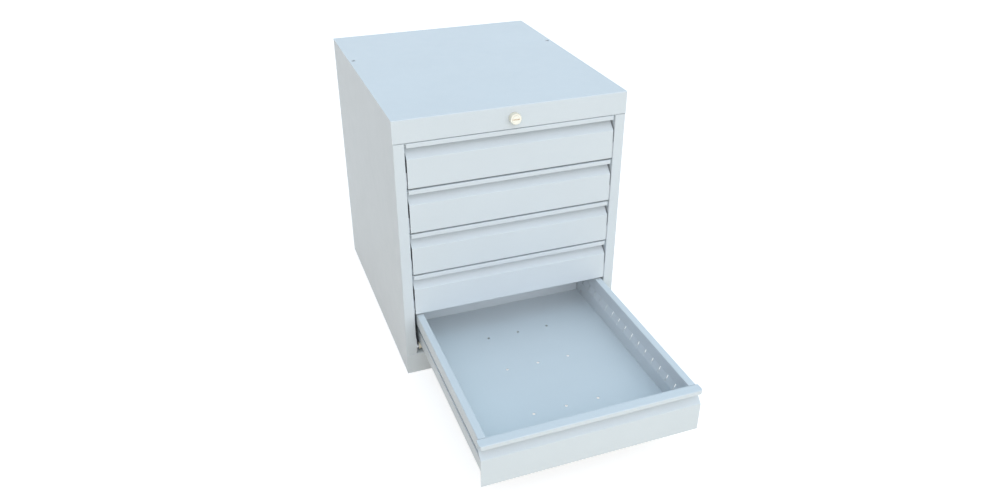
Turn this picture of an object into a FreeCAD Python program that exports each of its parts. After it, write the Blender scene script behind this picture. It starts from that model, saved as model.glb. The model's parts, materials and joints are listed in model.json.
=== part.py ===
import FreeCAD, Part
import math
import os

# Steel drawer cabinet with five equal drawers on roller slides and one central lock.
# The origin is the middle of the footprint on the floor, +Z up, with the fronts towards -Y.
# Heights inside a drawer are counted from the bottom of its slot.
# Depths are counted backwards from the front plane of the cabinet.

# Carcass
WIDTH = 500.0
DEPTH = 600.0
SHEET = 1.2
BEND_RADIUS = 1.0
PLINTH_HEIGHT = 50.0
PLINTH_RETURN = 17.0
FASCIA_HEIGHT = 49.0
FASCIA_RETURN = 12.0
STILE_WIDTH = 23.5
STILE_RETURN = 20.0
EDGE_FLANGE = 20.0
SEAM = 0.1
TOP_HOLE_RADIUS = 4.25
TOP_HOLE_INSET = 10.0
TOP_HOLE_DEPTH = 400.0

# Drawer slots
DRAWER_COUNT = 5
DRAWER_PITCH = 100.0
TOP_DRAWER_GAP = 1.0
FRONT_SIDE_GAP = 2.5
FRONT_BOTTOM_GAP = 3.3
TRAVEL = 429.0

# Drawer front
DRAWER_SHEET = 1.0
LIP_DEPTH = 20.0
LIP_HEIGHT = 9.0
LIP_OVERHANG = 1.2
LIP_CORNER_RADIUS = 5.0
RECESS_FALL = 20.0
RECESS_TOP_DROP = 13.0
FRONT_RETURN = 15.0

# Drawer tray
SKIRT_GAP = 5.0
SIDE_FLANGE = 15.5
SIDE_STEP = 6.0
SKIRT_HEIGHT = 28.0
FLOOR_HEIGHT = 25.0
BAND_BOTTOM = 57.0
BAND_TOP = 72.0
TRAY_DEPTH = 512.0
BACK_WALL_DROP = 3.0
BACK_FLANGE = 12.0
CORNER_GAP = 0.8
SLOT_WIDTH = 2.5
SLOT_PITCH = 30.0
SLOT_FIRST = 63.7
SLOT_END_MARGIN = 25.0
FLOOR_HOLE_RADIUS = 3.0
FLOOR_HOLE_SPACING = 70.0
FLOOR_HOLE_DEPTHS = (127.0, 275.5, 394.5)

# Roller slides
RAIL_SHEET = 1.2
ROLLER_RADIUS = 6.5
ROLLER_CLEARANCE = 0.3
COLLAR_RADIUS = 8.0
COLLAR_WIDTH = 2.0
STUD_RADIUS = 2.5
RUNNING_CLEARANCE = 0.05
DRAWER_RAIL_WIDTH = 16.0
DRAWER_RAIL_HEIGHT = 30.0
DRAWER_RAIL_BOTTOM = 18.2
DRAWER_RAIL_FLANGE = 10.5
DRAWER_RAIL_TAIL = 8.0
CABINET_RAIL_WIDTH = 8.0
CABINET_RAIL_START = 2.0
FRONT_ROLLER_DEPTH = 13.0
FRONT_ROLLER_WIDTH = 16.0
REAR_ROLLER_DEPTH = 500.0
REAR_ROLLER_WIDTH = 5.0
EAR_LENGTH = 24.0
EAR_DROP = 5.0
STOP_LENGTH = 6.0
STOP_HEIGHT = 5.0
BUMPER_LENGTH = 6.0
HEAD_THICKNESS = 0.7
RIVET_RADIUS = 2.4
RIVET_HEAD_RADIUS = 3.6
RIVET_FRONT_DEPTH = 60.0
RIVET_REAR_GAP = 12.0

# Uprights behind the stiles
UPRIGHT_WIDTH = 30.0
UPRIGHT_FRONT_DEPTH = 80.0
UPRIGHT_REAR_INSET = 130.0

# Lock and locking bar
LOCK_DROP = 25.0
BEZEL_RADIUS = 12.0
BEZEL_LENGTH = 11.5
BEZEL_CHAMFER = 1.2
BARREL_RADIUS = 9.0
BARREL_LENGTH = 20.0
PLUG_RADIUS = 8.0
PLUG_PROUD = 0.6
KEYWAY_WIDTH = 13.0
KEYWAY_HEIGHT = 2.8
KEYWAY_DEPTH = 2.5
NUT_ACROSS_FLATS = 24.0
NUT_THICKNESS = 5.0
CRANK_RADIUS = 8.5
CRANK_PIN_RADIUS = 2.5
CRANK_PIN_LENGTH = 6.5
CRANK_HALF_TURN = 45.0
PLATE = 2.0
SPINDLE_RADIUS = 4.0
CRANK_SCREW_RADIUS = 4.8
CRANK_SCREW_HEAD = 2.5
ARM_GAP = 0.8
ARM_HEIGHT = 16.0
ARM_SLOT_CLEARANCE = 0.6
BAR_DEPTH = 25.0
BAR_WIDTH = 14.0
BAR_SIDE_GAP = 2.5
BAR_FOOT = 42.0
LUG_HEIGHT = 10.0
LUG_BOTTOM = 56.0
LUG_REACH = 3.1
CATCH_SHEET = 1.5
CATCH_LENGTH = 30.0
CATCH_BOTTOM = 70.0
CATCH_HEIGHT = 20.0
CATCH_SIDE_GAP = 0.6
CATCH_FRONT_GAP = 0.6
GUIDE_HEIGHT = 10.0
GUIDE_CLEARANCE = 0.3
GUIDE_WALL = 1.2
GUIDE_BOTTOM = 84.0

# Derived places
HEIGHT = PLINTH_HEIGHT + DRAWER_COUNT * DRAWER_PITCH + TOP_DRAWER_GAP + FASCIA_HEIGHT
FRONT = -DEPTH / 2
HALF = WIDTH / 2
OPENING = HALF - STILE_WIDTH
OPEN_DRAWER = DRAWER_COUNT
SKIN_INNER = HALF - SHEET
FRONT_HALF = OPENING - FRONT_SIDE_GAP
LIP_HALF = FRONT_HALF + LIP_OVERHANG
SKIRT_X = OPENING - SKIRT_GAP
UPPER_WALL_X = SKIRT_X - SIDE_FLANGE
LOWER_WALL_X = UPPER_WALL_X - SIDE_STEP
TRAY_START = LIP_DEPTH + DRAWER_SHEET
FLOOR_TOP = FLOOR_HEIGHT + DRAWER_SHEET
TRAY_END = TRAY_DEPTH + DRAWER_SHEET
RAIL_INNER_X = LOWER_WALL_X + DRAWER_SHEET
RAIL_OUTER_X = RAIL_INNER_X + DRAWER_RAIL_WIDTH
CHANNEL_WEB_X = OPENING - RAIL_SHEET
CHANNEL_EDGE_X = OPENING - CABINET_RAIL_WIDTH
RAIL_CENTRE = DRAWER_RAIL_BOTTOM + DRAWER_RAIL_HEIGHT / 2
CHANNEL_HALF = ROLLER_RADIUS + ROLLER_CLEARANCE
FRONT_ROLLER_Z = DRAWER_RAIL_BOTTOM - ROLLER_CLEARANCE - ROLLER_RADIUS
COLLAR_X = RAIL_OUTER_X + ROLLER_CLEARANCE
RIVET_DEPTHS = (RIVET_FRONT_DEPTH, REAR_ROLLER_DEPTH - RIVET_REAR_GAP)
UPRIGHT_DEPTHS = (UPRIGHT_FRONT_DEPTH, DEPTH - UPRIGHT_REAR_INSET)
LOCK_HEIGHT = HEIGHT - LOCK_DROP
GUIDED_DRAWERS = (2, DRAWER_COUNT)
CRANK_ANGLE = math.radians(CRANK_HALF_TURN)
BAR_X = OPENING + BAR_SIDE_GAP
CRANK_DEPTH = BARREL_LENGTH + RUNNING_CLEARANCE
ARM_DEPTH = CRANK_DEPTH + PLATE + CRANK_SCREW_HEAD + ARM_GAP

X_AXIS = FreeCAD.Vector(1, 0, 0)
Y_AXIS = FreeCAD.Vector(0, 1, 0)
Z_AXIS = FreeCAD.Vector(0, 0, 1)


def slot_base(drawer):
    """Height of the bottom of a drawer's slot; drawer 1 is the top one."""
    return PLINTH_HEIGHT + DRAWER_PITCH * (DRAWER_COUNT - drawer)


def box(x, y, z):
    """Box from its low and high x, depth behind the front plane, and z."""
    corner = FreeCAD.Vector(min(x), FRONT + min(y), min(z))
    return Part.makeBox(abs(x[1] - x[0]), abs(y[1] - y[0]), abs(z[1] - z[0]), corner)


def rod(radius, start, end):
    """Cylinder between two points, each given as x, depth and z."""
    low = FreeCAD.Vector(start[0], FRONT + start[1], start[2])
    high = FreeCAD.Vector(end[0], FRONT + end[1], end[2])
    return Part.makeCylinder(radius, (high - low).Length, low, high - low)


def fuse(shapes):
    """One solid from overlapping or touching shapes."""
    shapes = list(shapes)
    return shapes[0].multiFuse(shapes[1:]).removeSplitter()


def mirrored(shape):
    """The same shape on the other side of the middle plane."""
    return shape.mirror(FreeCAD.Vector(), X_AXIS)


def pair(shape):
    """The right-hand shape and its left-hand twin."""
    return Part.Compound([shape, mirrored(shape)])


def bent_edges(points, radii):
    """Straight runs and tangent arcs along the points, in a plane."""
    edges = []
    start = points[0]
    for index in range(1, len(points) - 1):
        corner = points[index]
        before = (corner - points[index - 1]).normalize()
        after = (points[index + 1] - corner).normalize()
        radius = radii[index]
        turn = before.getAngle(after)
        reach = radius * math.tan(turn / 2)
        first = corner - before * reach
        last = corner + after * reach
        inward = (after - before).normalize()
        middle = corner + inward * (radius / math.cos(turn / 2) - radius)
        edges.append(Part.LineSegment(start, first).toShape())
        edges.append(Part.Arc(first, middle, last).toShape())
        start = last
    edges.append(Part.LineSegment(start, points[-1]).toShape())
    return edges


def folded(points, thickness, place, direction):
    """Folded sheet whose outer face follows the points on their left-hand side.

    place turns a point of the section into a vector, and direction is the extrusion.
    """
    flat = [FreeCAD.Vector(u, v, 0) for u, v in points]
    normals = []
    for low, high in zip(flat, flat[1:]):
        along = (high - low).normalize()
        normals.append(FreeCAD.Vector(-along.y, along.x, 0))
    far = [flat[0] - normals[0] * thickness]
    near_radii = [0.0]
    far_radii = [0.0]
    for index in range(1, len(flat) - 1):
        one = normals[index - 1]
        two = normals[index]
        far.append(flat[index] - (one + two) * (thickness / (1 + one.dot(two))))
        turns_left = one.cross(two).z > 0
        near_radii.append(BEND_RADIUS if turns_left else BEND_RADIUS + thickness)
        far_radii.append(BEND_RADIUS + thickness if turns_left else BEND_RADIUS)
    far.append(flat[-1] - normals[-1] * thickness)
    edges = bent_edges(flat, near_radii)
    edges += bent_edges(far, far_radii)
    edges.append(Part.LineSegment(flat[0], far[0]).toShape())
    edges.append(Part.LineSegment(flat[-1], far[-1]).toShape())
    outline = Part.Wire(Part.sortEdges(edges)[0])
    section = Part.Face(outline)
    section.Placement = place
    return section.extrude(direction)


def plan_place(z):
    """Section drawn in plan: u is x, v is the depth."""
    return FreeCAD.Placement(FreeCAD.Vector(0, FRONT, z), FreeCAD.Rotation())


def side_place(x):
    """Section drawn from the side: u is the depth, v is z."""
    turn = FreeCAD.Rotation(Y_AXIS, Z_AXIS, X_AXIS, "ZXY")
    return FreeCAD.Placement(FreeCAD.Vector(x, FRONT, 0), turn)


def front_place(depth):
    """Section drawn from the front: u is x, v is z."""
    turn = FreeCAD.Rotation(X_AXIS, Z_AXIS, FreeCAD.Vector(0, -1, 0), "ZXY")
    return FreeCAD.Placement(FreeCAD.Vector(0, FRONT + depth, 0), turn)


def plate(points, depth, thickness):
    """Flat plate drawn from the front, as thick as given, going backwards."""
    corners = [FreeCAD.Vector(x, FRONT + depth, z) for x, z in points]
    return Part.Face(Part.makePolygon(corners + corners[:1])).extrude(Y_AXIS * thickness)


def top_hole_cutters():
    """The two fixing holes that go through the top and the flanges under it."""
    x = HALF - TOP_HOLE_INSET
    low = HEIGHT - 3 * SHEET
    cutter = rod(TOP_HOLE_RADIUS, (x, TOP_HOLE_DEPTH, low), (x, TOP_HOLE_DEPTH, HEIGHT + SHEET))
    return pair(cutter)


def side_panel():
    """Right side: skin, rear flange, front stile with its return, top and bottom flanges."""
    skin = [(HALF - EDGE_FLANGE, DEPTH), (HALF, DEPTH), (HALF, SHEET)]
    stile = [(HALF - EDGE_FLANGE, DEPTH), (HALF, DEPTH), (HALF, 0)]
    stile += [(OPENING, 0), (OPENING, STILE_RETURN)]
    low = PLINTH_HEIGHT + SEAM
    high = HEIGHT - FASCIA_HEIGHT - SEAM
    top = HEIGHT - SHEET
    flange_x = (HALF - EDGE_FLANGE, SKIN_INNER + SHEET / 2)
    flange_y = (2 * SHEET, DEPTH - 2 * SHEET)
    pieces = [
        folded(skin, SHEET, plan_place(0), Z_AXIS * low),
        folded(stile, SHEET, plan_place(low), Z_AXIS * (high - low)),
        folded(skin, SHEET, plan_place(high), Z_AXIS * (top - high)),
        box(flange_x, flange_y, (SHEET, 2 * SHEET)),
        box(flange_x, flange_y, (top - SHEET, top)),
    ]
    panel = fuse(pieces).cut(top_hole_cutters())
    for drawer in range(1, DRAWER_COUNT + 1):
        panel = panel.cut(front_stud_core(drawer, RUNNING_CLEARANCE))
    return panel


def end_relief(z):
    """Clears what is folded back from the front plane from the two side skins."""
    x = (SKIN_INNER - SEAM, HALF + SHEET)
    return pair(box(x, (SHEET, PLINTH_RETURN + FASCIA_RETURN), z))


def top_panel():
    """Top sheet folded down into the fascia, with the lock hole and two fixing holes."""
    bottom = HEIGHT - FASCIA_HEIGHT
    outline = [(FASCIA_RETURN, bottom), (0, bottom), (0, HEIGHT), (DEPTH, HEIGHT)]
    sheet = folded(outline, SHEET, side_place(-HALF), X_AXIS * WIDTH)
    lock_hole = rod(BARREL_RADIUS + RUNNING_CLEARANCE, lock_point(-SHEET), lock_point(2 * SHEET))
    relief = end_relief((bottom - SHEET, HEIGHT - SHEET))
    return sheet.cut(lock_hole).cut(top_hole_cutters()).cut(relief)


def plinth_front():
    """Plinth face flush with the stiles, with its top edge folded back."""
    outline = [(0, 0), (0, PLINTH_HEIGHT), (PLINTH_RETURN, PLINTH_HEIGHT)]
    sheet = folded(outline, SHEET, side_place(-HALF), X_AXIS * WIDTH)
    return sheet.cut(end_relief((-SHEET, PLINTH_HEIGHT + SHEET)))


def back_panel():
    """Flat back between the side skins, held against their rear flanges."""
    x = SKIN_INNER - BEND_RADIUS
    return box((-x, x), (DEPTH - 2 * SHEET, DEPTH - SHEET), (0, HEIGHT - SHEET))


def bottom_panel():
    """Flat base sheet that rests on the floor."""
    return box((-SKIN_INNER, SKIN_INNER), (SHEET, DEPTH - 2 * SHEET), (0, SHEET))


def rail_rivet_hole(x, depth, z):
    """Hole for a rail rivet, through a web on either side of x."""
    reach = 2 * RAIL_SHEET
    radius = RIVET_RADIUS + RUNNING_CLEARANCE
    return rod(radius, (x - reach, depth, z), (x + reach, depth, z))


def upright(depth):
    """Right-hand channel between base and top that the cabinet rails are riveted to."""
    near = depth - UPRIGHT_WIDTH / 2
    far = depth + UPRIGHT_WIDTH / 2
    outline = [(SKIN_INNER, far), (OPENING, far), (OPENING, near), (SKIN_INNER, near)]
    low = 2 * SHEET
    channel = folded(outline[::-1], SHEET, plan_place(low), Z_AXIS * (HEIGHT - 2 * low))
    for drawer in range(1, DRAWER_COUNT + 1):
        channel = channel.cut(rail_rivet_hole(OPENING, depth, slot_base(drawer) + RAIL_CENTRE))
    return channel


def cabinet_rail(drawer):
    """Right-hand channel for the rear roller, with the ear of the front roller."""
    base = slot_base(drawer)
    low = base + RAIL_CENTRE - CHANNEL_HALF - RAIL_SHEET
    high = base + RAIL_CENTRE + CHANNEL_HALF + RAIL_SHEET
    start = CABINET_RAIL_START + EAR_LENGTH
    end = REAR_ROLLER_DEPTH + ROLLER_RADIUS + ROLLER_CLEARANCE + BUMPER_LENGTH
    outline = [(CHANNEL_EDGE_X, high), (OPENING, high), (OPENING, low), (CHANNEL_EDGE_X, low)]
    channel = folded(outline, RAIL_SHEET, front_place(end), Y_AXIS * (start - end))
    ear_z = (base + EAR_DROP, high - RAIL_SHEET - BEND_RADIUS)
    ear = box((CHANNEL_WEB_X, OPENING), (CABINET_RAIL_START, start + BEND_RADIUS), ear_z)
    stop_end = REAR_ROLLER_DEPTH - TRAVEL - ROLLER_RADIUS - ROLLER_CLEARANCE
    stop_low = base + RAIL_CENTRE - CHANNEL_HALF - RAIL_SHEET / 2
    stop_x = (RAIL_OUTER_X + 2 * RAIL_SHEET, CHANNEL_WEB_X + RAIL_SHEET / 2)
    stop = box(stop_x, (stop_end - STOP_LENGTH, stop_end), (stop_low, stop_low + STOP_HEIGHT))
    rail = fuse([channel, ear, stop])
    for depth in UPRIGHT_DEPTHS:
        rail = rail.cut(rail_rivet_hole(OPENING, depth, base + RAIL_CENTRE))
    return rail.cut(front_stud_core(drawer, RUNNING_CLEARANCE))


def rivet(depth, z, head_x, webs):
    """Rivet along x: a low head at head_x, the shank through the webs and a tail behind."""
    end = head_x + webs
    head = rod(RIVET_HEAD_RADIUS, (head_x - HEAD_THICKNESS, depth, z), (head_x, depth, z))
    shank = rod(RIVET_RADIUS, (head_x - HEAD_THICKNESS / 2, depth, z), (end, depth, z))
    tail = rod(RIVET_HEAD_RADIUS, (end, depth, z), (end + HEAD_THICKNESS, depth, z))
    return fuse([head, shank, tail])


def cabinet_rail_rivets():
    """All rivets that hold the cabinet rails on the uprights."""
    rivets = []
    for drawer in range(1, DRAWER_COUNT + 1):
        for depth in UPRIGHT_DEPTHS:
            z = slot_base(drawer) + RAIL_CENTRE
            rivets.append(pair(rivet(depth, z, CHANNEL_WEB_X, RAIL_SHEET + SHEET)))
    return Part.Compound(rivets)


def front_stud_core(drawer, extra=0.0):
    """Shank of the stud that carries the right-hand front roller."""
    z = slot_base(drawer) + FRONT_ROLLER_Z
    depth = FRONT_ROLLER_DEPTH
    inner = COLLAR_X + COLLAR_WIDTH - FRONT_ROLLER_WIDTH - HEAD_THICKNESS
    return rod(STUD_RADIUS + extra, (inner, depth, z), (OPENING + SHEET + extra, depth, z))


def front_stud(drawer):
    """Front roller stud: inner head, shoulder against the ear, tail behind the stile's return."""
    z = slot_base(drawer) + FRONT_ROLLER_Z
    depth = FRONT_ROLLER_DEPTH
    outer = COLLAR_X + COLLAR_WIDTH
    inner = outer - FRONT_ROLLER_WIDTH
    head_start = inner - ROLLER_CLEARANCE - HEAD_THICKNESS
    head = rod(2 * STUD_RADIUS, (head_start, depth, z), (inner - ROLLER_CLEARANCE, depth, z))
    shoulder = rod(2 * STUD_RADIUS, (outer + ROLLER_CLEARANCE, depth, z), (CHANNEL_WEB_X, depth, z))
    tail_start = OPENING + SHEET
    tail = rod(RIVET_HEAD_RADIUS, (tail_start, depth, z), (tail_start + HEAD_THICKNESS, depth, z))
    return fuse([front_stud_core(drawer), head, shoulder, tail])


def front_studs():
    """All studs of the front rollers."""
    return Part.Compound([pair(front_stud(drawer)) for drawer in range(1, DRAWER_COUNT + 1)])


def front_roller(drawer):
    """Right-hand roller under the drawer rail, with a collar that guides the rail sideways."""
    z = slot_base(drawer) + FRONT_ROLLER_Z
    depth = FRONT_ROLLER_DEPTH
    outer = COLLAR_X + COLLAR_WIDTH
    inner = outer - FRONT_ROLLER_WIDTH
    tread = rod(ROLLER_RADIUS, (inner, depth, z), (outer, depth, z))
    collar = rod(COLLAR_RADIUS, (COLLAR_X, depth, z), (outer, depth, z))
    return fuse([tread, collar]).cut(front_stud_core(drawer, RUNNING_CLEARANCE))


def bumpers():
    """Rubber buffers at the rear ends of the channels, which stop a closing drawer."""
    start = REAR_ROLLER_DEPTH + ROLLER_RADIUS + ROLLER_CLEARANCE
    blocks = []
    for drawer in range(1, DRAWER_COUNT + 1):
        z = slot_base(drawer) + RAIL_CENTRE
        x = (CHANNEL_EDGE_X, CHANNEL_WEB_X - BEND_RADIUS)
        blocks.append(pair(box(x, (start, start + BUMPER_LENGTH), (z - CHANNEL_HALF, z + CHANNEL_HALF))))
    return Part.Compound(blocks)


def shift(drawer):
    """How far a drawer is pulled out as modelled."""
    out = TRAVEL if drawer == OPEN_DRAWER else 0.0
    return FreeCAD.Vector(0, -out, 0)


def tray_side(base):
    """Right-hand side on the floor: wall, slotted band, upper wall, top flange and skirt."""
    top = base + DRAWER_PITCH
    outline = [
        (LOWER_WALL_X, base + FLOOR_TOP),
        (LOWER_WALL_X, base + BAND_BOTTOM),
        (UPPER_WALL_X, base + BAND_TOP),
        (UPPER_WALL_X, top),
        (SKIRT_X, top),
        (SKIRT_X, top - SKIRT_HEIGHT),
    ]
    side = folded(outline, DRAWER_SHEET, front_place(TRAY_END), Y_AXIS * (TRAY_START - TRAY_END))
    for depth in RIVET_DEPTHS:
        side = side.cut(rail_rivet_hole(LOWER_WALL_X, depth, base + RAIL_CENTRE))
    return side.cut(divider_slots(base))


def end_wall(base, depth, top):
    """Upright wall on the floor between the sides, with a small gap at each corner."""
    lower = LOWER_WALL_X - CORNER_GAP
    upper = UPPER_WALL_X - CORNER_GAP
    right = [
        (lower, base + FLOOR_TOP),
        (lower, base + BAND_BOTTOM),
        (upper, base + BAND_TOP),
        (upper, top),
    ]
    left = [(-x, z) for x, z in reversed(right)]
    return plate(left + right, depth, DRAWER_SHEET)


def divider_slots(base):
    """Cutters for the through slots along the right-hand slanted band."""
    cutters = []
    depth = SLOT_FIRST
    while depth < TRAY_DEPTH - SLOT_END_MARGIN:
        x = (LOWER_WALL_X - SIDE_STEP, UPPER_WALL_X + DRAWER_SHEET + BEND_RADIUS)
        y = (depth - SLOT_WIDTH / 2, depth + SLOT_WIDTH / 2)
        cutters.append(box(x, y, (base + BAND_BOTTOM, base + BAND_TOP)))
        depth += SLOT_PITCH
    return Part.Compound(cutters)


def floor_holes(base):
    """Cutters for the holes in the drawer floor."""
    cutters = []
    for depth in FLOOR_HOLE_DEPTHS:
        for step in (-1, 0, 1):
            x = step * FLOOR_HOLE_SPACING
            low = (x, depth, base + FLOOR_HEIGHT - DRAWER_SHEET)
            cutters.append(rod(FLOOR_HOLE_RADIUS, low, (x, depth, base + FLOOR_TOP + DRAWER_SHEET)))
    return Part.Compound(cutters)


def drawer_tray(drawer):
    """Tray as five welded sheets: floor, two sides, front wall, and back wall with its flange."""
    base = slot_base(drawer)
    back_top = base + DRAWER_PITCH - BACK_WALL_DROP
    floor_z = (base + FLOOR_HEIGHT, base + FLOOR_TOP)
    floor = box((-RAIL_INNER_X, RAIL_INNER_X), (TRAY_START, TRAY_END), floor_z)
    upper = UPPER_WALL_X - CORNER_GAP
    flange = box((-upper, upper), (TRAY_DEPTH, TRAY_END + BACK_FLANGE), (back_top - DRAWER_SHEET, back_top))
    front_wall = end_wall(base, TRAY_START, base + DRAWER_PITCH - DRAWER_SHEET)
    back_wall = fuse([end_wall(base, TRAY_DEPTH, back_top), flange])
    return Part.Compound([floor.cut(floor_holes(base)), pair(tray_side(base)), front_wall, back_wall])


def lip_corner(base):
    """Cutter that rounds the right-hand front corner of the lip in plan."""
    z = (base + DRAWER_PITCH - LIP_HEIGHT - BEND_RADIUS, base + DRAWER_PITCH + DRAWER_SHEET)
    radius = LIP_CORNER_RADIUS
    centre_x = LIP_HALF - radius
    block = box((centre_x, LIP_HALF + radius), (-radius, radius), z)
    keep = rod(radius, (centre_x, radius, z[0]), (centre_x, radius, z[1]))
    return block.cut(keep)


def drawer_front(drawer):
    """Drawer front: bottom return, face, slanted recess and the slightly wider lip above it."""
    base = slot_base(drawer)
    bottom = base + FRONT_BOTTOM_GAP
    top = base + DRAWER_PITCH
    recess_top = top - RECESS_TOP_DROP
    under = top - DRAWER_SHEET
    outline = [
        (FRONT_RETURN, bottom),
        (0, bottom),
        (0, recess_top - RECESS_FALL),
        (LIP_DEPTH, recess_top),
        (LIP_DEPTH, under),
        (DRAWER_SHEET, under),
        (DRAWER_SHEET, top - LIP_HEIGHT),
    ]
    sheet = folded(outline, DRAWER_SHEET, side_place(-LIP_HALF), X_AXIS * (2 * LIP_HALF))
    below_lip = (bottom - DRAWER_SHEET, top - LIP_HEIGHT)
    trim = pair(box((FRONT_HALF, LIP_HALF + SHEET), (-DRAWER_SHEET, TRAY_START + DRAWER_SHEET), below_lip))
    notch_y = (BEND_RADIUS + DRAWER_SHEET, FRONT_RETURN + DRAWER_SHEET)
    notch_z = (bottom - DRAWER_SHEET, bottom + 2 * DRAWER_SHEET)
    notch = pair(box((LOWER_WALL_X, FRONT_HALF + SHEET), notch_y, notch_z))
    return sheet.cut(trim).cut(notch).cut(pair(lip_corner(base)))


def rear_stud_core(drawer, extra=0.0):
    """Shank of the stud that carries the right-hand rear roller."""
    z = slot_base(drawer) + RAIL_CENTRE
    depth = REAR_ROLLER_DEPTH
    outer = CHANNEL_WEB_X - ROLLER_CLEARANCE
    return rod(STUD_RADIUS + extra, (RAIL_OUTER_X - 2 * RAIL_SHEET, depth, z), (outer, depth, z))


def rear_stud(drawer):
    """Rear roller stud with its heads and the shoulder against the drawer rail."""
    z = slot_base(drawer) + RAIL_CENTRE
    depth = REAR_ROLLER_DEPTH
    outer = CHANNEL_WEB_X - ROLLER_CLEARANCE
    inner = outer - HEAD_THICKNESS - RUNNING_CLEARANCE - REAR_ROLLER_WIDTH
    shoulder = rod(STUD_RADIUS + SHEET, (RAIL_OUTER_X, depth, z), (inner - RUNNING_CLEARANCE, depth, z))
    cap = rod(STUD_RADIUS + SHEET, (outer - HEAD_THICKNESS, depth, z), (outer, depth, z))
    tail_x = RAIL_OUTER_X - RAIL_SHEET
    tail = rod(RIVET_HEAD_RADIUS, (tail_x - RAIL_SHEET, depth, z), (tail_x, depth, z))
    return fuse([rear_stud_core(drawer), shoulder, cap, tail])


def rear_roller(drawer):
    """Right-hand roller that runs in the cabinet rail."""
    z = slot_base(drawer) + RAIL_CENTRE
    outer = CHANNEL_WEB_X - ROLLER_CLEARANCE - HEAD_THICKNESS - RUNNING_CLEARANCE
    inner = outer - REAR_ROLLER_WIDTH
    tread = rod(ROLLER_RADIUS, (inner, REAR_ROLLER_DEPTH, z), (outer, REAR_ROLLER_DEPTH, z))
    return tread.cut(rear_stud_core(drawer, RUNNING_CLEARANCE))


def drawer_rail(drawer):
    """Right-hand drawer rail: mounting web, bottom tread, outer web and top flange."""
    base = slot_base(drawer)
    low = base + DRAWER_RAIL_BOTTOM
    high = low + DRAWER_RAIL_HEIGHT
    end = REAR_ROLLER_DEPTH + ROLLER_RADIUS + DRAWER_RAIL_TAIL
    outline = [
        (RAIL_OUTER_X - DRAWER_RAIL_FLANGE, high),
        (RAIL_OUTER_X, high),
        (RAIL_OUTER_X, low),
        (RAIL_INNER_X, low),
        (RAIL_INNER_X, high - 2 * RAIL_SHEET),
    ]
    rail = folded(outline, RAIL_SHEET, front_place(end), Y_AXIS * (DRAWER_SHEET - end))
    for depth in RIVET_DEPTHS:
        rail = rail.cut(rail_rivet_hole(RAIL_INNER_X, depth, base + RAIL_CENTRE))
    return rail.cut(rear_stud_core(drawer, RUNNING_CLEARANCE))


def drawer_hardware(drawer):
    """Rivets of the drawer rails and studs of the rear rollers."""
    z = slot_base(drawer) + RAIL_CENTRE
    webs = DRAWER_SHEET + RAIL_SHEET
    pieces = [pair(rivet(depth, z, LOWER_WALL_X, webs)) for depth in RIVET_DEPTHS]
    return Part.Compound(pieces + [pair(rear_stud(drawer))])


def drawer_catch(drawer):
    """Angle on the right-hand skirt that the locking bar's lug stands in front of."""
    base = slot_base(drawer) + CATCH_BOTTOM
    z = (base, base + CATCH_HEIGHT)
    start = BAR_DEPTH + PLATE + CATCH_FRONT_GAP
    leg = box((SKIRT_X, SKIRT_X + CATCH_SHEET), (start, start + CATCH_LENGTH), z)
    tab = box((SKIRT_X, OPENING - CATCH_SIDE_GAP), (start, start + CATCH_SHEET), z)
    return fuse([leg, tab])


def lock_point(depth, angle=None):
    """Point on the lock's axis, or at the crank pin for an angle from the horizontal."""
    if angle is None:
        return (0, depth, LOCK_HEIGHT)
    x = CRANK_RADIUS * math.cos(angle)
    return (x, depth, LOCK_HEIGHT + CRANK_RADIUS * math.sin(angle))


def lock_body():
    """Lock housing: bezel in front of the fascia and barrel behind it."""
    bezel = rod(BEZEL_RADIUS, lock_point(-BEZEL_LENGTH), lock_point(0))
    front_edge = [edge for edge in bezel.Edges if edge.BoundBox.YMax < FRONT - BEZEL_LENGTH / 2]
    bezel = bezel.makeChamfer(BEZEL_CHAMFER, front_edge[:1])
    barrel = rod(BARREL_RADIUS, lock_point(-SHEET), lock_point(BARREL_LENGTH))
    bore_ends = (lock_point(-2 * BEZEL_LENGTH), lock_point(2 * BARREL_LENGTH))
    bore = rod(PLUG_RADIUS + RUNNING_CLEARANCE, *bore_ends)
    return fuse([bezel, barrel]).cut(bore)


def lock_nut():
    """Hexagon nut that clamps the lock behind the fascia."""
    corner = NUT_ACROSS_FLATS / math.sqrt(3)
    angles = [math.radians(60 * index) for index in range(6)]
    outline = [(corner * math.cos(a), LOCK_HEIGHT + corner * math.sin(a)) for a in angles]
    bore = rod(BARREL_RADIUS + RUNNING_CLEARANCE, lock_point(0), lock_point(BARREL_LENGTH))
    return plate(outline, SHEET, NUT_THICKNESS).cut(bore)


def lock_plug():
    """Turning plug with the keyway in front and the spindle for the crank behind."""
    front = -BEZEL_LENGTH - PLUG_PROUD
    plug = rod(PLUG_RADIUS, lock_point(front), lock_point(BARREL_LENGTH))
    spindle = rod(SPINDLE_RADIUS, lock_point(0), lock_point(CRANK_DEPTH + PLATE))
    half_height = KEYWAY_HEIGHT / 2
    z = (LOCK_HEIGHT - half_height, LOCK_HEIGHT + half_height)
    keyway = box((-KEYWAY_WIDTH / 2, KEYWAY_WIDTH / 2), (front - PLUG_PROUD, front + KEYWAY_DEPTH), z)
    return fuse([plug, spindle]).cut(keyway)


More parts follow.
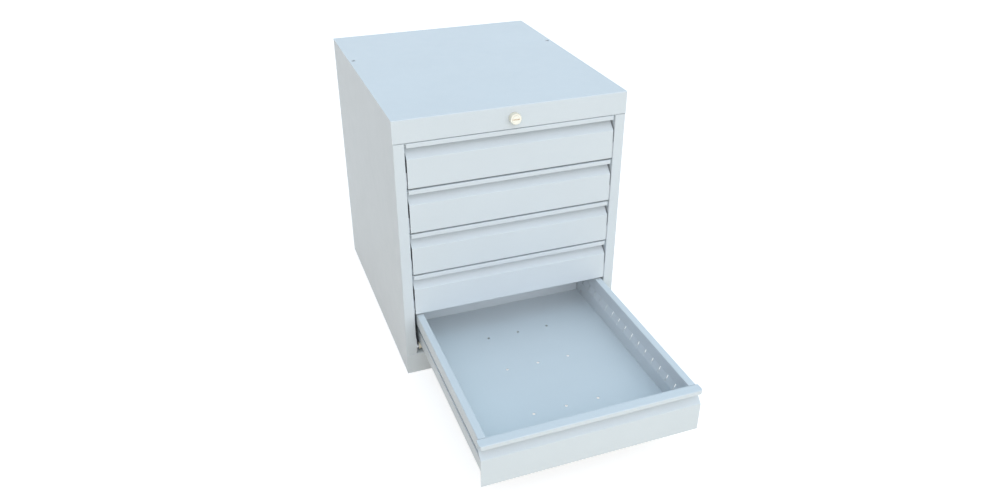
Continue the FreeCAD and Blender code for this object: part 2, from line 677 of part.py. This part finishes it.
def lock_crank():
    """Crank plate on the spindle, with the pin that lifts the locking bar."""
    end = CRANK_DEPTH + PLATE
    pin = lock_point(end, -CRANK_ANGLE)
    hub = rod(CRANK_RADIUS, lock_point(CRANK_DEPTH), lock_point(end))
    eye = rod(2 * CRANK_PIN_RADIUS, (pin[0], CRANK_DEPTH, pin[2]), pin)
    stem = rod(CRANK_PIN_RADIUS, (pin[0], CRANK_DEPTH, pin[2]), (pin[0], end + CRANK_PIN_LENGTH, pin[2]))
    hole = rod(SPINDLE_RADIUS + RUNNING_CLEARANCE, lock_point(0), lock_point(end + PLATE))
    return fuse([hub, eye, stem]).cut(hole)


def crank_screw():
    """Screw that holds the crank on the spindle."""
    start = CRANK_DEPTH + PLATE
    head = rod(CRANK_SCREW_RADIUS, lock_point(start), lock_point(start + CRANK_SCREW_HEAD))
    slot_y = (start + CRANK_SCREW_HEAD / 2, start + 2 * CRANK_SCREW_HEAD)
    slot_z = (LOCK_HEIGHT - SHEET / 2, LOCK_HEIGHT + SHEET / 2)
    return head.cut(box((-CRANK_SCREW_RADIUS, CRANK_SCREW_RADIUS), slot_y, slot_z))


def locking_bar():
    """Upright bar with a welded lug per drawer and the slotted arm that the crank lifts."""
    pin = lock_point(0, -CRANK_ANGLE)
    half_arm = ARM_HEIGHT / 2
    arm_y = (ARM_DEPTH, ARM_DEPTH + PLATE)
    bar_y = (BAR_DEPTH, BAR_DEPTH + BAR_WIDTH)
    bar_z = (slot_base(DRAWER_COUNT) + BAR_FOOT, pin[2] + half_arm)
    grip = CRANK_PIN_RADIUS + ARM_SLOT_CLEARANCE
    slot_x = (pin[0] - grip, CRANK_RADIUS + grip)
    slot = box(slot_x, (arm_y[0] - PLATE, arm_y[1] + PLATE), (pin[2] - grip, pin[2] + grip))
    arm = box((-PLATE, BAR_X), arm_y, (pin[2] - half_arm, pin[2] + half_arm))
    pieces = [box((BAR_X, BAR_X + PLATE), bar_y, bar_z), arm.cut(slot)]
    for drawer in range(1, DRAWER_COUNT + 1):
        low = slot_base(drawer) + LUG_BOTTOM
        x = (OPENING - LUG_REACH, BAR_X)
        pieces.append(box(x, (BAR_DEPTH, BAR_DEPTH + PLATE), (low, low + LUG_HEIGHT)))
    return Part.Compound(pieces)


def bar_guides():
    """Guides on the side skin that hold the locking bar upright."""
    reach = GUIDE_WALL + GUIDE_CLEARANCE
    x = (BAR_X - reach, SKIN_INNER)
    y = (BAR_DEPTH - reach, BAR_DEPTH + BAR_WIDTH + reach)
    window_x = (BAR_X - GUIDE_CLEARANCE, BAR_X + PLATE + GUIDE_CLEARANCE)
    window_y = (BAR_DEPTH - GUIDE_CLEARANCE, BAR_DEPTH + BAR_WIDTH + GUIDE_CLEARANCE)
    guides = []
    for drawer in GUIDED_DRAWERS:
        low = slot_base(drawer) + GUIDE_BOTTOM
        window = box(window_x, window_y, (low - GUIDE_HEIGHT, low + 2 * GUIDE_HEIGHT))
        guides.append(box(x, y, (low, low + GUIDE_HEIGHT)).cut(window))
    return Part.Compound(guides)


def save(name, shape):
    """Writes one named piece, or group of like pieces, to its file."""
    shape.exportStep("parts/" + name + ".step")


def main():
    """Builds and writes every piece."""
    os.makedirs("parts", exist_ok=True)
    right_side = side_panel()
    save("side_panel_right", right_side)
    save("side_panel_left", mirrored(right_side))
    save("top_panel", top_panel())
    save("back_panel", back_panel())
    save("bottom_panel", bottom_panel())
    save("plinth_front", plinth_front())
    for place, depth in zip(("front", "rear"), UPRIGHT_DEPTHS):
        channel = upright(depth)
        save("upright_" + place + "_right", channel)
        save("upright_" + place + "_left", mirrored(channel))
    save("cabinet_rail_rivets", cabinet_rail_rivets())
    save("front_roller_studs", front_studs())
    save("drawer_bumpers", bumpers())
    save("lock_body", lock_body())
    save("lock_nut", lock_nut())
    save("lock_plug", lock_plug())
    save("lock_crank", lock_crank())
    save("crank_screw", crank_screw())
    save("locking_bar", locking_bar())
    save("bar_guides", bar_guides())
    for drawer in range(1, DRAWER_COUNT + 1):
        suffix = "_" + str(drawer)
        save("cabinet_rails" + suffix, pair(cabinet_rail(drawer)))
        save("front_rollers" + suffix, pair(front_roller(drawer)))
        moving = {
            "drawer_tray": drawer_tray(drawer),
            "drawer_front": drawer_front(drawer),
            "drawer_rails": pair(drawer_rail(drawer)),
            "drawer_hardware": drawer_hardware(drawer),
            "rear_rollers": pair(rear_roller(drawer)),
            "drawer_catch": drawer_catch(drawer),
        }
        for name, shape in moving.items():
            shape.translate(shift(drawer))
            save(name + suffix, shape)


main()
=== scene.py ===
import json
import math
import bpy
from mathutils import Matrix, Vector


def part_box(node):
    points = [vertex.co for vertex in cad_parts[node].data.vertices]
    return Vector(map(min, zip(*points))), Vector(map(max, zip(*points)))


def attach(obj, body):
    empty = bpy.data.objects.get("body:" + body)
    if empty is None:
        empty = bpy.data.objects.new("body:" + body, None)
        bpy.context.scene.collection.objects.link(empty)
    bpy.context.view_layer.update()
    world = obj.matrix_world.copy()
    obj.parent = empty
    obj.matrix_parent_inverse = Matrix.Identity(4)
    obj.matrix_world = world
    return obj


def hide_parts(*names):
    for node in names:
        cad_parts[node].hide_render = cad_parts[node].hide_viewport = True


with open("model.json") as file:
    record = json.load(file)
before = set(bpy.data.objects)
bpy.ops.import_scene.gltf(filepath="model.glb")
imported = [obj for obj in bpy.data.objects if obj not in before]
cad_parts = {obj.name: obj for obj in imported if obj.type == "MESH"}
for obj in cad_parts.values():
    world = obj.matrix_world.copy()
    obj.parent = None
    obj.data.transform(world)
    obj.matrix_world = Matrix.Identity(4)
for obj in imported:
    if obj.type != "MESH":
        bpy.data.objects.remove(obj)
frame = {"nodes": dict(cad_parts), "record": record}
bpy.context.view_layer.update()

# Camera, fitted to the photograph: metres and degrees in the row frame, millimetres in the camera
CAMERA_PLACE = (-0.56102, -1.74638, 1.16696)
CAMERA_TURN = (math.radians(59.98), 0.0, math.radians(-20.15))
CAMERA_SENSOR = 36.0
CAMERA_LENS = 29.66

# Floor, just below the object: it throws a warm light and shows white to the camera
FLOOR_SIZE = 12.0
FLOOR_DROP = 0.0004
FLOOR_LIT = (0.92, 0.80, 0.62)
FLOOR_SHOWN = (0.5, 0.5, 0.5)
FLOOR_GLOW = 0.72

# Soft light of the studio: the axis (x, y, z as 0, 1, 2), its sign, and red, green and blue
LIGHT_TOP = (2, 1.0, (0.804, 1.097, 1.309))
LIGHT_FRONT = (1, -1.0, (1.960, 1.905, 1.939))
LIGHT_BACK = (1, 1.0, (0.687, 0.694, 0.699))
LIGHT_LEFT = (0, -1.0, (0.148, 0.000, 0.000))
LIGHT_RIGHT = (0, 1.0, (0.747, 0.802, 0.858))
WORLD_SHOWN = (1.0, 1.0, 1.0, 1.0)

# Colours of the finishes
COAT = (0.65, 0.705, 0.735)
ZINC = (0.66, 0.68, 0.70)
NICKEL = (0.90, 0.86, 0.74, 1.0)
KEYWAY_BRONZE = (0.85, 0.72, 0.58, 1.0)

# Patterns of the finishes, as noise scale and detail
COAT_CLOUDS = (5.0, 3.0)
COAT_GRAIN = (420.0, 2.0)
COAT_GLOSS = (38.0, 4.0)
COAT_PEEL = (850.0, 1.5)
ZINC_STRETCH = (900.0, 25.0, 900.0)
ZINC_GRAIN = (1.0, 3.0)
ZINC_SPOTS = (120.0, 3.0)
MOULD_CLOUDS = (90.0, 3.0)
MOULD_GLOSS = (160.0, 2.0)
MOULD_DETAIL = 2.0
NICKEL_RINGS = (5200.0, 2.0)

# The part of a noise's range that the spans below are spread over
NOISE_LOW = 0.3
NOISE_HIGH = 0.7

# Spans of shade, as factors of the colour, and of roughness
COAT_CLOUD_SHADE = (0.985, 1.015)
COAT_GRAIN_SHADE = (0.99, 1.01)
COAT_ROUGHNESS = (0.38, 0.47)
ZINC_SHADE = (0.90, 1.08)
ZINC_ROUGHNESS = (0.30, 0.46)
MOULD_SHADE = (0.95, 1.04)
MOULD_ROUGHNESS_SPAN = 0.06
NICKEL_ROUGHNESS = (0.24, 0.38)

# Share of metal, and bumps as strength and height in metres
ZINC_METAL = 0.9
NICKEL_METAL = 0.85
COAT_BUMP = (0.16, 0.00012)
ZINC_BUMP = (0.10, 0.00006)
NICKEL_BUMP = (0.12, 0.00004)

# Moulded finishes: colour, roughness, scale of the grain, and its bump
NYLON_MOULD = ((0.90, 0.85, 0.70), 0.42, 700.0, (0.2, 0.00008))
RUBBER_MOULD = ((0.018, 0.018, 0.020), 0.78, 500.0, (0.2, 0.00020))

# Keyway of the lock plug: half its height
KEYWAY_HALF = 0.00138

# Turned rollers, in metres
SMOOTH_ANGLE = math.radians(32.0)
TURN_STEPS = 56
ROLLER_BORE = 0.00255
FRONT_TREAD = 0.0065
FRONT_WIDTH = 0.016
REAR_WIDTH = 0.005
COLLAR_WIDTH = 0.002
EASE = 0.0005
EASE_MIDDLE = EASE * 0.3
COLLAR_EASE = EASE * 0.5
GROOVE = 0.0004
GROOVE_START = 0.30
GROOVE_END = 0.62

# Small rounds on the edges of the other nodes, in metres
WELD_REACH = 0.000002
EDGE_ROUND = 0.00022
EDGE_ANGLE = math.radians(50.0)
EDGE_SEGMENTS = 2
FACE_WEIGHT = 100


class Nodes:
    """Adds shader nodes to one material or world, and links them."""

    def __init__(self, owner):
        owner.use_nodes = True
        self.tree = owner.node_tree
        self.tree.nodes.clear()

    def add(self, kind, inputs=None, **settings):
        node = self.tree.nodes.new(kind)
        for name, value in settings.items():
            setattr(node, name, value)
        for key, value in (inputs or {}).items():
            self.put(value, node.inputs[key])
        return node

    def put(self, value, socket):
        if isinstance(value, bpy.types.NodeSocket):
            self.tree.links.new(value, socket)
        else:
            socket.default_value = value

    def math(self, operation, *values):
        node = self.add("ShaderNodeMath", operation=operation)
        for value, socket in zip(values, node.inputs):
            self.put(value, socket)
        return node.outputs[0]

    def noise(self, vector, scale, detail):
        inputs = {"Vector": vector, "Scale": scale, "Detail": detail}
        return self.add("ShaderNodeTexNoise", inputs).outputs["Fac"]

    def spread(self, value, low, high):
        """A noise's value spread over a span."""
        inputs = {"Value": value, "From Min": NOISE_LOW, "From Max": NOISE_HIGH}
        inputs.update({"To Min": low, "To Max": high})
        return self.add("ShaderNodeMapRange", inputs).outputs["Result"]

    def tint(self, colour, factor):
        """The colour made lighter or darker by a varying factor."""
        inputs = {0: colour, "Scale": factor}
        return self.add("ShaderNodeVectorMath", inputs, operation="SCALE").outputs[0]

    def blend(self, factor, low, high):
        """A mix of two colours; inputs 6 and 7 and output 2 are the node's colour sockets."""
        inputs = {0: factor, 6: low, 7: high}
        return self.add("ShaderNodeMix", inputs, data_type="RGBA").outputs[2]

    def bump(self, height, strength, distance):
        inputs = {"Height": height, "Strength": strength, "Distance": distance}
        return self.add("ShaderNodeBump", inputs).outputs[0]


def object_place(nodes):
    """The point in the object's own coordinates."""
    return nodes.add("ShaderNodeTexCoord").outputs["Object"]


def surface(nodes, shade, gloss, normal, metal=0.0):
    """The material's shader and output."""
    inputs = {"Base Color": shade, "Roughness": gloss, "Normal": normal, "Metallic": metal}
    shader = nodes.add("ShaderNodeBsdfPrincipled", inputs)
    nodes.add("ShaderNodeOutputMaterial", {"Surface": shader.outputs[0]})


def powder_coat(name, colour):
    """Satin powder coat: fine orange peel, faint clouds of shade and gloss."""
    material = bpy.data.materials.new(name)
    nodes = Nodes(material)
    place = object_place(nodes)
    clouds = nodes.spread(nodes.noise(place, *COAT_CLOUDS), *COAT_CLOUD_SHADE)
    grain = nodes.spread(nodes.noise(place, *COAT_GRAIN), *COAT_GRAIN_SHADE)
    shade = nodes.tint(colour, nodes.math("MULTIPLY", clouds, grain))
    gloss = nodes.spread(nodes.noise(place, *COAT_GLOSS), *COAT_ROUGHNESS)
    peel = nodes.bump(nodes.noise(place, *COAT_PEEL), *COAT_BUMP)
    surface(nodes, shade, gloss, peel)
    return material


def zinc_plate(name):
    """Zinc plated steel with a faint rolled grain along the depth."""
    material = bpy.data.materials.new(name)
    nodes = Nodes(material)
    place = object_place(nodes)
    stretched = nodes.add("ShaderNodeMapping", {"Vector": place, "Scale": ZINC_STRETCH}).outputs[0]
    grain = nodes.noise(stretched, *ZINC_GRAIN)
    spots = nodes.noise(place, *ZINC_SPOTS)
    shade = nodes.tint(ZINC, nodes.spread(spots, *ZINC_SHADE))
    gloss = nodes.spread(grain, *ZINC_ROUGHNESS)
    ridges = nodes.bump(grain, *ZINC_BUMP)
    surface(nodes, shade, gloss, ridges, ZINC_METAL)
    return material


def moulded(name, colour, roughness, grain_scale, bump):
    """Moulded nylon or rubber with a fine matt grain."""
    material = bpy.data.materials.new(name)
    nodes = Nodes(material)
    place = object_place(nodes)
    shade = nodes.tint(colour, nodes.spread(nodes.noise(place, *MOULD_CLOUDS), *MOULD_SHADE))
    span = (roughness - MOULD_ROUGHNESS_SPAN, roughness + MOULD_ROUGHNESS_SPAN)
    gloss = nodes.spread(nodes.noise(place, *MOULD_GLOSS), *span)
    grain = nodes.bump(nodes.noise(place, grain_scale, MOULD_DETAIL), *bump)
    surface(nodes, shade, gloss, grain)
    return material


def turned_nickel(name, centre_z, keyway_half=None):
    """Satin nickel with turning marks round the lock's axis, and bronze in the keyway's height."""
    material = bpy.data.materials.new(name)
    nodes = Nodes(material)
    axes = nodes.add("ShaderNodeSeparateXYZ", {"Vector": object_place(nodes)}).outputs
    x = axes[0]
    z = nodes.math("SUBTRACT", axes[2], centre_z)
    square = nodes.math("ADD", nodes.math("MULTIPLY", x, x), nodes.math("MULTIPLY", z, z))
    scale, detail = NICKEL_RINGS
    inputs = {"W": nodes.math("SQRT", square), "Scale": scale, "Detail": detail}
    rings = nodes.add("ShaderNodeTexNoise", inputs, noise_dimensions="1D").outputs["Fac"]
    gloss = nodes.spread(rings, *NICKEL_ROUGHNESS)
    marks = nodes.bump(rings, *NICKEL_BUMP)
    shade = NICKEL
    if keyway_half:
        inside = nodes.math("LESS_THAN", nodes.math("ABSOLUTE", z), keyway_half)
        shade = nodes.blend(inside, NICKEL, KEYWAY_BRONZE)
    surface(nodes, shade, gloss, marks, NICKEL_METAL)
    return material


def white_to_camera(nodes, shown, lit):
    """Shows one shader to the camera and in reflections, and lights the object with the other."""
    path = nodes.add("ShaderNodeLightPath").outputs
    mirror = nodes.math("MAXIMUM", path["Is Glossy Ray"], path["Is Transmission Ray"])
    seen = nodes.math("MAXIMUM", path["Is Camera Ray"], mirror)
    mix = nodes.add("ShaderNodeMixShader")
    for value, socket in zip((seen, lit, shown), mix.inputs):
        nodes.put(value, socket)
    return mix.outputs[0]


def make_world():
    """Soft light whose strength and tint differ a little from side to side."""
    world = bpy.data.worlds.new("studio")
    bpy.context.scene.world = world
    nodes = Nodes(world)
    towards = nodes.add("ShaderNodeTexCoord").outputs["Generated"]
    axes = nodes.add("ShaderNodeSeparateXYZ", {"Vector": towards}).outputs
    total = (0.0, 0.0, 0.0)
    for axis, sign, colour in (LIGHT_TOP, LIGHT_FRONT, LIGHT_BACK, LIGHT_LEFT, LIGHT_RIGHT):
        facing = nodes.math("MAXIMUM", nodes.math("MULTIPLY", axes[axis], sign), 0.0)
        share = nodes.tint(colour, nodes.math("MULTIPLY", facing, facing))
        total = nodes.add("ShaderNodeVectorMath", {0: total, 1: share}, operation="ADD").outputs[0]
    lit = nodes.add("ShaderNodeBackground", {"Color": total})
    shown = nodes.add("ShaderNodeBackground", {"Color": WORLD_SHOWN})
    mixed = white_to_camera(nodes, shown.outputs[0], lit.outputs[0])
    nodes.add("ShaderNodeOutputWorld", {"Surface": mixed})


def make_floor():
    """A plain floor that keeps the object's shadow."""
    half = FLOOR_SIZE / 2
    mesh = bpy.data.meshes.new("studio_floor")
    square = ((-half, -half), (half, -half), (half, half), (-half, half))
    mesh.from_pydata([(x, y, -FLOOR_DROP) for x, y in square], [], [(0, 1, 2, 3)])
    floor = bpy.data.objects.new("studio_floor", mesh)
    bpy.context.scene.collection.objects.link(floor)
    material = bpy.data.materials.new("floor_white")
    nodes = Nodes(material)
    lit = nodes.add("ShaderNodeBsdfDiffuse", {"Color": (*FLOOR_LIT, 1.0)})
    bright = nodes.add("ShaderNodeBsdfDiffuse", {"Color": (*FLOOR_SHOWN, 1.0)})
    glow = nodes.add("ShaderNodeEmission", {"Strength": FLOOR_GLOW})
    both = nodes.add("ShaderNodeAddShader", {0: bright.outputs[0], 1: glow.outputs[0]})
    mixed = white_to_camera(nodes, both.outputs[0], lit.outputs[0])
    nodes.add("ShaderNodeOutputMaterial", {"Surface": mixed})
    mesh.materials.append(material)


def make_camera():
    camera = bpy.data.objects.new("camera", bpy.data.cameras.new("camera"))
    bpy.context.scene.collection.objects.link(camera)
    camera.location = CAMERA_PLACE
    camera.rotation_euler = CAMERA_TURN
    camera.data.sensor_width = CAMERA_SENSOR
    camera.data.lens = CAMERA_LENS
    bpy.context.scene.camera = camera


def lock_centre():
    """Height of the lock's axis."""
    low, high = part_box("lock_plug")
    return (low[2] + high[2]) / 2


def paint_nodes():
    """Gives each node the finish of its material slot, and returns the finishes."""
    finishes = {
        "cabinet_coat": powder_coat("cabinet_coat_paint", COAT),
        "drawer_coat": powder_coat("drawer_coat_paint", COAT),
        "zinc_steel": zinc_plate("zinc_plate"),
        "nylon": moulded("cream_nylon", *NYLON_MOULD),
        "black_rubber": moulded("black_rubber", *RUBBER_MOULD),
        "lock_metal": turned_nickel("turned_nickel", lock_centre()),
    }
    for part in frame["record"]["subparts"]:
        materials = frame["nodes"][part["node"]].data.materials
        materials.clear()
        materials.append(finishes[part["material_slot"]])
    plug = frame["nodes"]["lock_plug"].data.materials
    plug.clear()
    plug.append(turned_nickel("keyed_nickel", lock_centre(), KEYWAY_HALF))
    return finishes


def new_piece(name, body, material, points, faces, node):
    """A smooth-shaded mesh piece that rides on a body and stands for a node."""
    mesh = bpy.data.meshes.new(name)
    mesh.from_pydata(points, [], faces)
    mesh.materials.append(material)
    piece = bpy.data.objects.new(name, mesh)
    bpy.context.scene.collection.objects.link(piece)
    mesh.shade_smooth()
    mesh.set_sharp_from_angle(angle=SMOOTH_ANGLE)
    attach(piece, body)
    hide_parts(node)


def turned(profile, centre, side):
    """Points and faces of a ring turned round an axis along x through the centre point.

    The profile is a closed loop of (distance from that point towards the cabinet's middle, radius).
    Side is 1 for a ring on the right and -1 for one on the left.
    """
    points = []
    faces = []
    count = len(profile)
    for step in range(TURN_STEPS):
        angle = math.tau * step / TURN_STEPS
        for inwards, radius in profile:
            y, z = radius * math.cos(angle), radius * math.sin(angle)
            points.append((centre[0] - side * inwards, centre[1] + y, centre[2] + z))
    for step in range(TURN_STEPS):
        near = step * count
        far = (step + 1) % TURN_STEPS * count
        for index in range(count):
            after = (index + 1) % count
            ring = (near + index, near + after, far + after, far + index)
            faces.append(ring if side < 0 else ring[::-1])
    return points, faces


def roller_profile(width, radius, bore, collar=0.0, collar_width=0.0):
    """Section of a moulded roller: eased rims, a ring groove in the outer face, a collar."""
    rim = collar or radius
    groove_low = bore + (rim - bore) * GROOVE_START
    groove_high = bore + (rim - bore) * GROOVE_END
    profile = [(0.0, bore), (0.0, groove_low), (GROOVE, groove_low + GROOVE)]
    profile += [(GROOVE, groove_high - GROOVE), (0.0, groove_high)]
    profile += [(0.0, rim - EASE), (EASE_MIDDLE, rim - EASE_MIDDLE), (EASE, rim)]
    if collar:
        profile += [(collar_width - COLLAR_EASE, rim), (collar_width, rim - COLLAR_EASE)]
        profile += [(collar_width, radius)]
    profile += [(width - EASE, radius), (width - EASE_MIDDLE, radius - EASE_MIDDLE)]
    return profile + [(width, radius - EASE), (width, bore)]


def make_rollers(material):
    """Both rollers of each node, turned with more detail, inside the node's own box."""
    for name in [name for name in frame["nodes"] if "_rollers_" in name]:
        low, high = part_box(name)
        centre = (high[0], (low[1] + high[1]) / 2, (low[2] + high[2]) / 2)
        radius = (high[2] - low[2]) / 2
        if name.startswith("front"):
            profile = roller_profile(FRONT_WIDTH, FRONT_TREAD, ROLLER_BORE, radius, COLLAR_WIDTH)
        else:
            profile = roller_profile(REAR_WIDTH, radius, ROLLER_BORE)
        points, faces = turned(profile, centre, 1)
        more_points, more_faces = turned(profile, (-centre[0], centre[1], centre[2]), -1)
        faces += [tuple(index + len(points) for index in face) for face in more_faces]
        new_piece(name + "_turned", name, material, points + more_points, faces, name)


def ease_edges():
    """Small rounds on the edges of the nodes that stay, which catch the light."""
    for name, node in frame["nodes"].items():
        if "_rollers_" in name:
            continue
        weld = node.modifiers.new("joined_faces", "WELD")
        weld.merge_threshold = WELD_REACH
        bevel = node.modifiers.new("eased_edges", "BEVEL")
        bevel.width = EDGE_ROUND
        bevel.segments = EDGE_SEGMENTS
        bevel.limit_method = "ANGLE"
        bevel.angle_limit = EDGE_ANGLE
        bevel.use_clamp_overlap = True
        weighted = node.modifiers.new("flat_shading", "WEIGHTED_NORMAL")
        weighted.weight = FACE_WEIGHT
        weighted.keep_sharp = False


make_camera()
make_world()
make_floor()
finishes = paint_nodes()
make_rollers(finishes["nylon"])
ease_edges()
bpy.context.scene.view_settings.view_transform = "Standard"
bpy.context.view_layer.update()
